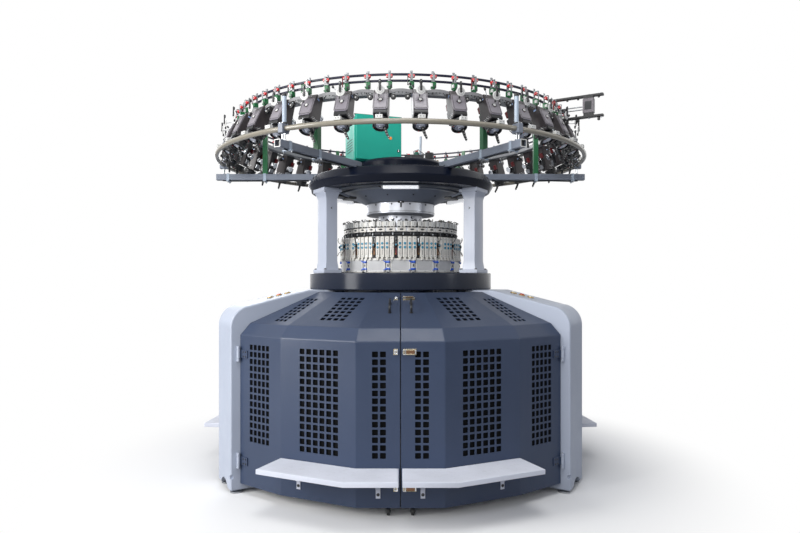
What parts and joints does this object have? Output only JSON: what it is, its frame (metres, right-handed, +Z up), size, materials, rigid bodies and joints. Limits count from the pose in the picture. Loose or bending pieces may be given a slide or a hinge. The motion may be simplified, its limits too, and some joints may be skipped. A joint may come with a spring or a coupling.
{
  "type": "circular knitting machine",
  "caption": "Large circular knitting machine with faceted guard doors, a round bed and crown on columns, a cylinder and dial knitting head, and a ring of yarn feeders.",
  "frame": {"origin": "on the machine's axis at floor level, the centre of the three floor anchor holes", "axes": "+Z up, the door side faces -Y, +X to the right of someone facing the doors"},
  "size_m": [2.903, 2.78, 2.558],
  "materials": {
    "arm_paint": "satin grey",
    "black_plastic": "black",
    "bracket_metal": "satin",
    "brushed_metal": "turned",
    "button_red": "red",
    "button_white": "off-white",
    "cabinet_green": "semi-gloss sea green",
    "cam_white": "satin off-white",
    "caster_rubber": "matt",
    "clear_cover": "smoky clear",
    "column_paint": "satin grey on castings",
    "dark_paint": "satin dark grey",
    "feeder_grey": "warm grey housing",
    "green_paint": "satin dark green",
    "green_plastic": "green",
    "guard_paint": "semi-gloss slate blue",
    "lamp_red": "red lens",
    "lamp_white": "white diffuser",
    "latch_metal": "nickel plated",
    "leg_paint": "semi-gloss pale grey",
    "navy_paint": "gloss dark navy",
    "post_paint": "satin light grey",
    "rail_paint": "satin dark blue",
    "roller_rubber": "matt",
    "steel": "machined",
    "step_paint": "textured off-white",
    "tube_paint": "satin beige"
  },
  "bodies": {
    "machine": {"base_ring": "steel", "bed_plate": "navy_paint", "belt_tensioner": "black_plastic", "cam_boxes": "cam_white", "carrier_ring": "arm_paint", "columns": "column_paint", "control_cabinet": "cabinet_green", "crown_plate": "navy_paint", "dial_cam_caps": "cam_white", "dial_cam_plate": "dark_paint", "dial_height_adjuster": "brushed_metal", "drive_motor": "dark_paint", "feeder_wheels": "black_plastic", "gear_housing": "dark_paint", "inner_posts": "green_paint", "legs": "leg_paint", "levelling_feet": "steel", "outer_posts": "post_paint", "radial_arms": "arm_paint", "rear_guards": "guard_paint", "rear_steps": "step_paint", "sensor_rails": "rail_paint", "stop_motion_bodies": "green_plastic", "stop_motion_brackets": "bracket_metal", "stop_motion_lamps": "lamp_red", "tube_ring": "tube_paint", "window_covers": "clear_cover", "work_lamps": "lamp_white", "yarn_feeders": "feeder_grey"},
    "cylinder": {"needle_cylinder": "steel", "ring_gear": "steel", "takedown_frame": "dark_paint"},
    "dial": {"dial": "steel", "dial_shaft": "steel"},
    "drive_shaft": {"drive_shaft": "steel"},
    "cabinet_door": {"cabinet_door": "cabinet_green"},
    "nip_roller_front": {"nip_roller_front": "roller_rubber"},
    "nip_roller_rear": {"nip_roller_rear": "roller_rubber"},
    "cloth_beam": {"cloth_beam": "steel"},
    "door_left": {"door_left": "guard_paint", "door_step_left": "step_paint", "door_handle_left": "black_plastic", "latch_keepers": "latch_metal"},
    "door_right": {"door_right": "guard_paint", "door_step_right": "step_paint", "door_handle_right": "black_plastic", "latch_bases": "latch_metal"},
    "caster_fork_left": {"caster_fork_left": "steel"},
    "caster_wheel_left": {"caster_wheel_left": "caster_rubber"},
    "button_left_upper": {"button_left_upper": "button_white"},
    "button_left_middle": {"button_left_middle": "button_red"},
    "button_left_lower": {"button_left_lower": "button_white"},
    "caster_fork_right": {"caster_fork_right": "steel"},
    "caster_wheel_right": {"caster_wheel_right": "caster_rubber"},
    "button_right_upper": {"button_right_upper": "button_white"},
    "button_right_middle": {"button_right_middle": "button_red"},
    "button_right_lower": {"button_right_lower": "button_white"},
    "latch_upper": {"latch_upper": "latch_metal"},
    "latch_middle": {"latch_middle": "latch_metal"},
    "latch_lower": {"latch_lower": "latch_metal"}
  },
  "joints": [
    {"name": "cylinder_spin", "type": "hinge", "parent": "machine", "child": "cylinder", "pos_m": [0, 0, 0], "axis": [0, 0, 1], "continuous": true},
    {"name": "dial_spin", "type": "hinge", "parent": "machine", "child": "dial", "pos_m": [0, 0, 0], "axis": [0, 0, 1], "continuous": true},
    {"name": "drive_shaft_spin", "type": "hinge", "parent": "machine", "child": "drive_shaft", "pos_m": [0.293, 0.50749, 0], "axis": [0, 0, 1], "continuous": true},
    {"name": "nip_roller_front_spin", "type": "hinge", "parent": "cylinder", "child": "nip_roller_front", "pos_m": [0, -0.036, 0.7], "axis": [1, 0, 0], "continuous": true},
    {"name": "nip_roller_rear_spin", "type": "hinge", "parent": "cylinder", "child": "nip_roller_rear", "pos_m": [0, 0.036, 0.7], "axis": [1, 0, 0], "continuous": true},
    {"name": "cloth_beam_spin", "type": "hinge", "parent": "cylinder", "child": "cloth_beam", "pos_m": [0, 0, 0.47], "axis": [1, 0, 0], "continuous": true},
    {"name": "door_left_swing", "type": "hinge", "parent": "machine", "child": "door_left", "pos_m": [-1.02003, -0.78117, 0], "axis": [0, 0, -1], "range_deg": [0, 90]},
    {"name": "caster_left_swivel", "type": "hinge", "parent": "door_left", "child": "caster_fork_left", "pos_m": [-0.07, -1.14, 0.06], "axis": [0, 0, 1], "continuous": true},
    {"name": "caster_left_roll", "type": "hinge", "parent": "caster_fork_left", "child": "caster_wheel_left", "pos_m": [-0.07, -1.126, 0.025], "axis": [1, 0, 0], "continuous": true},
    {"name": "door_right_swing", "type": "hinge", "parent": "machine", "child": "door_right", "pos_m": [1.02003, -0.78117, 0], "axis": [0, 0, 1], "range_deg": [0, 90]},
    {"name": "caster_right_swivel", "type": "hinge", "parent": "door_right", "child": "caster_fork_right", "pos_m": [0.07, -1.14, 0.06], "axis": [0, 0, 1], "continuous": true},
    {"name": "caster_right_roll", "type": "hinge", "parent": "caster_fork_right", "child": "caster_wheel_right", "pos_m": [0.07, -1.126, 0.025], "axis": [1, 0, 0], "continuous": true},
    {"name": "cabinet_door_swing", "type": "hinge", "parent": "machine", "child": "cabinet_door", "pos_m": [-0.3263, -0.18491, 0], "axis": [0, 0, -1], "range_deg": [0, 90]},
    {"name": "latch_lower_lift", "type": "hinge", "parent": "door_right", "child": "latch_lower", "pos_m": [0.014, -1.194, 0.175], "axis": [0, 0, -1], "range_deg": [0, 110]},
    {"name": "latch_middle_lift", "type": "hinge", "parent": "door_right", "child": "latch_middle", "pos_m": [0.014, -1.194, 0.945], "axis": [0, 0, -1], "range_deg": [0, 110]},
    {"name": "latch_upper_lift", "type": "hinge", "parent": "door_right", "child": "latch_upper", "pos_m": [0.014, -0.79649, 1.23578], "axis": [0, -0.9087, -0.4175], "range_deg": [0, 110]},
    {"name": "button_left_upper_press", "type": "slide", "parent": "machine", "child": "button_left_upper", "axis": [0.2001, 0.1155, -0.9729], "range_m": [0, 0.004], "stiffness_N_per_m": 900},
    {"name": "button_left_middle_press", "type": "slide", "parent": "machine", "child": "button_left_middle", "axis": [0.2001, 0.1155, -0.9729], "range_m": [0, 0.004], "stiffness_N_per_m": 900},
    {"name": "button_left_lower_press", "type": "slide", "parent": "machine", "child": "button_left_lower", "axis": [0.2001, 0.1155, -0.9729], "range_m": [0, 0.004], "stiffness_N_per_m": 900},
    {"name": "button_right_upper_press", "type": "slide", "parent": "machine", "child": "button_right_upper", "axis": [-0.2001, 0.1155, -0.9729], "range_m": [0, 0.004], "stiffness_N_per_m": 900},
    {"name": "button_right_middle_press", "type": "slide", "parent": "machine", "child": "button_right_middle", "axis": [-0.2001, 0.1155, -0.9729], "range_m": [0, 0.004], "stiffness_N_per_m": 900},
    {"name": "button_right_lower_press", "type": "slide", "parent": "machine", "child": "button_right_lower", "axis": [-0.2001, 0.1155, -0.9729], "range_m": [0, 0.004], "stiffness_N_per_m": 900}
  ],
  "couplings": [
    {"joint": "dial_spin", "follows": "cylinder_spin", "ratio": 1},
    {"joint": "drive_shaft_spin", "follows": "cylinder_spin", "ratio": -10},
    {"joint": "nip_roller_front_spin", "follows": "cylinder_spin", "ratio": 0.5},
    {"joint": "nip_roller_rear_spin", "follows": "cylinder_spin", "ratio": -0.5},
    {"joint": "cloth_beam_spin", "follows": "cylinder_spin", "ratio": 0.46}
  ]
}
